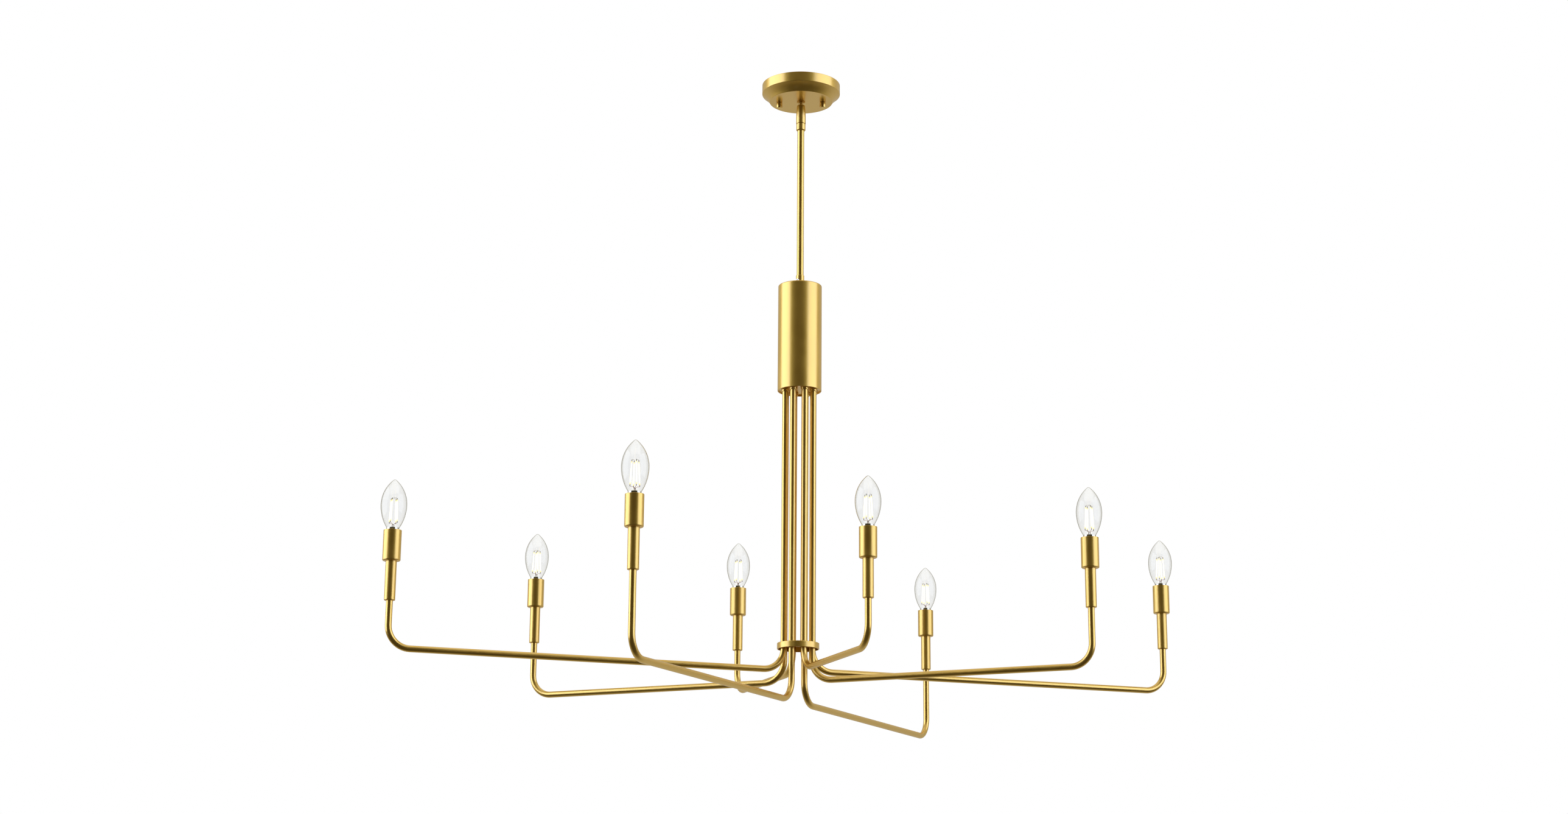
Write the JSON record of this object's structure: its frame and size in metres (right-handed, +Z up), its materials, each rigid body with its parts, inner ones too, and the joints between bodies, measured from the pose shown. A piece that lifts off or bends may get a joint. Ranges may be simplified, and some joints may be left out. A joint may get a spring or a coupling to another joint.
{
  "type": "multi arm chandelier",
  "caption": "Ceiling chandelier on a short rod: a drum hub holds a bundle of curved tube arms, each turning up into a candle cup with a clear bulb.",
  "frame": {"origin": "middle of the mounting bar's ceiling face, at the centre of its two box screw slots", "axes": "+Z up, out through the ceiling; +X along the mounting bar, from screw slot to screw slot; -Y is the side seen from the front"},
  "size_m": [1.1012, 0.9368, 0.9185],
  "materials": {
    "satin_brass": "satin, lacquered",
    "steel": "zinc plated",
    "liner_nylon": "natural nylon",
    "socket_body": "moulded, dark",
    "bulb_glass": "clear"
  },
  "bodies": {
    "ceiling": {"mounting_bar": "steel", "ground_screw": "steel", "canopy_shell": "satin_brass", "canopy_studs": "steel", "ball_stud": "satin_brass", "stud_nut": "steel"},
    "canopy_nut_1": {"canopy_nut_1": "satin_brass"},
    "canopy_nut_2": {"canopy_nut_2": "satin_brass"},
    "ball_liner": {"ball_liner": "liner_nylon"},
    "swivel": {"swivel_body": "satin_brass"},
    "stem": {"rod_coupler": "satin_brass", "down_rod": "satin_brass", "rod_collar": "satin_brass", "set_screw": "steel", "drum_shell": "satin_brass", "drum_base_plate": "satin_brass", "tube_collars": "satin_brass", "centre_post": "steel", "hub_nuts": "steel", "spacer_ring": "satin_brass"},
    "arm_1": {"arm_tube_1": "satin_brass", "sleeve_1": "satin_brass", "cup_1": "satin_brass", "socket_1": "socket_body"},
    "bulb_1": {"bulb_1": "bulb_glass"},
    "arm_2": {"arm_tube_2": "satin_brass", "sleeve_2": "satin_brass", "cup_2": "satin_brass", "socket_2": "socket_body"},
    "bulb_2": {"bulb_2": "bulb_glass"},
    "arm_3": {"arm_tube_3": "satin_brass", "sleeve_3": "satin_brass", "cup_3": "satin_brass", "socket_3": "socket_body"},
    "bulb_3": {"bulb_3": "bulb_glass"},
    "arm_4": {"arm_tube_4": "satin_brass", "sleeve_4": "satin_brass", "cup_4": "satin_brass", "socket_4": "socket_body"},
    "bulb_4": {"bulb_4": "bulb_glass"},
    "arm_5": {"arm_tube_5": "satin_brass", "sleeve_5": "satin_brass", "cup_5": "satin_brass", "socket_5": "socket_body"},
    "bulb_5": {"bulb_5": "bulb_glass"},
    "arm_6": {"arm_tube_6": "satin_brass", "sleeve_6": "satin_brass", "cup_6": "satin_brass", "socket_6": "socket_body"},
    "bulb_6": {"bulb_6": "bulb_glass"},
    "arm_7": {"arm_tube_7": "satin_brass", "sleeve_7": "satin_brass", "cup_7": "satin_brass", "socket_7": "socket_body"},
    "bulb_7": {"bulb_7": "bulb_glass"},
    "arm_8": {"arm_tube_8": "satin_brass", "sleeve_8": "satin_brass", "cup_8": "satin_brass", "socket_8": "socket_body"},
    "bulb_8": {"bulb_8": "bulb_glass"}
  },
  "joints": [
    {"name": "swivel_tilt_x", "type": "hinge", "parent": "ceiling", "child": "ball_liner", "pos_m": [0, 0, -0.0385], "axis": [1, 0, 0], "range_deg": [-10, 10]},
    {"name": "swivel_tilt_y", "type": "hinge", "parent": "ball_liner", "child": "swivel", "pos_m": [0, 0, -0.0385], "axis": [0, 1, 0], "range_deg": [-10, 10]},
    {"name": "stem_turn", "type": "hinge", "parent": "swivel", "child": "stem", "pos_m": [0, 0, -0.06], "axis": [0, 0, 1], "range_deg": [-180, 180]},
    {"name": "canopy_nut_1_turn", "type": "hinge", "parent": "ceiling", "child": "canopy_nut_1", "pos_m": [-0.032, 0, -0.0306], "axis": [0, 0, 1], "continuous": true},
    {"name": "canopy_nut_2_turn", "type": "hinge", "parent": "ceiling", "child": "canopy_nut_2", "pos_m": [0.032, 0, -0.0306], "axis": [0, 0, 1], "continuous": true},
    {"name": "arm_1_swing", "type": "hinge", "parent": "stem", "child": "arm_1", "pos_m": [0.01977, 0.00819, -0.466], "axis": [0, 0, 1], "range_deg": [-20, 20]},
    {"name": "arm_2_swing", "type": "hinge", "parent": "stem", "child": "arm_2", "pos_m": [0.00819, 0.01977, -0.466], "axis": [0, 0, 1], "range_deg": [-20, 20]},
    {"name": "arm_3_swing", "type": "hinge", "parent": "stem", "child": "arm_3", "pos_m": [-0.00819, 0.01977, -0.466], "axis": [0, 0, 1], "range_deg": [-20, 20]},
    {"name": "arm_4_swing", "type": "hinge", "parent": "stem", "child": "arm_4", "pos_m": [-0.01977, 0.00819, -0.466], "axis": [0, 0, 1], "range_deg": [-20, 20]},
    {"name": "arm_5_swing", "type": "hinge", "parent": "stem", "child": "arm_5", "pos_m": [-0.01977, -0.00819, -0.466], "axis": [0, 0, 1], "range_deg": [-20, 20]},
    {"name": "arm_6_swing", "type": "hinge", "parent": "stem", "child": "arm_6", "pos_m": [-0.00819, -0.01977, -0.466], "axis": [0, 0, 1], "range_deg": [-20, 20]},
    {"name": "arm_7_swing", "type": "hinge", "parent": "stem", "child": "arm_7", "pos_m": [0.00819, -0.01977, -0.466], "axis": [0, 0, 1], "range_deg": [-20, 20]},
    {"name": "arm_8_swing", "type": "hinge", "parent": "stem", "child": "arm_8", "pos_m": [0.01977, -0.00819, -0.466], "axis": [0, 0, 1], "range_deg": [-20, 20]},
    {"name": "bulb_1_turn", "type": "hinge", "parent": "arm_1", "child": "bulb_1", "pos_m": [0.53308, 0.22081, -0.713], "axis": [0, 0, 1], "continuous": true},
    {"name": "bulb_2_turn", "type": "hinge", "parent": "arm_2", "child": "bulb_2", "pos_m": [0.18675, 0.45085, -0.713], "axis": [0, 0, 1], "continuous": true},
    {"name": "bulb_3_turn", "type": "hinge", "parent": "arm_3", "child": "bulb_3", "pos_m": [-0.0995, 0.24021, -0.713], "axis": [0, 0, 1], "continuous": true},
    {"name": "bulb_4_turn", "type": "hinge", "parent": "arm_4", "child": "bulb_4", "pos_m": [-0.39542, 0.16379, -0.713], "axis": [0, 0, 1], "continuous": true},
    {"name": "bulb_5_turn", "type": "hinge", "parent": "arm_5", "child": "bulb_5", "pos_m": [-0.53308, -0.22081, -0.713], "axis": [0, 0, 1], "continuous": true},
    {"name": "bulb_6_turn", "type": "hinge", "parent": "arm_6", "child": "bulb_6", "pos_m": [-0.18675, -0.45085, -0.713], "axis": [0, 0, 1], "continuous": true},
    {"name": "bulb_7_turn", "type": "hinge", "parent": "arm_7", "child": "bulb_7", "pos_m": [0.0995, -0.24021, -0.713], "axis": [0, 0, 1], "continuous": true},
    {"name": "bulb_8_turn", "type": "hinge", "parent": "arm_8", "child": "bulb_8", "pos_m": [0.39542, -0.16379, -0.713], "axis": [0, 0, 1], "continuous": true}
  ]
}
